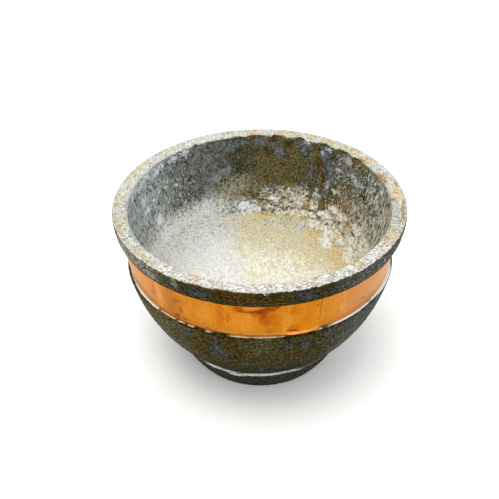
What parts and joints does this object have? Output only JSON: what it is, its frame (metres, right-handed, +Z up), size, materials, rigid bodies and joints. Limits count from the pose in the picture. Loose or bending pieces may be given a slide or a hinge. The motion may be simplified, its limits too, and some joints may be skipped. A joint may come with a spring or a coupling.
{
  "type": "stone bowl",
  "caption": "Round turned stone bowl on a tapered foot, with a flat thick lip and a copper band let into a groove under the rim.",
  "frame": {"origin": "centre of the foot's underside, which is the middle of the base of the bounding box", "axes": "+Z up along the axis the bowl was turned on, -Y towards the viewer of the picture, +X to the viewer's right"},
  "size_m": [0.1404, 0.1404, 0.0888],
  "materials": {
    "soapstone": "matte",
    "copper": "satin"
  },
  "bodies": {
    "root": {"stone_bowl": "soapstone", "copper_band": "copper"}
  },
  "joints": []
}
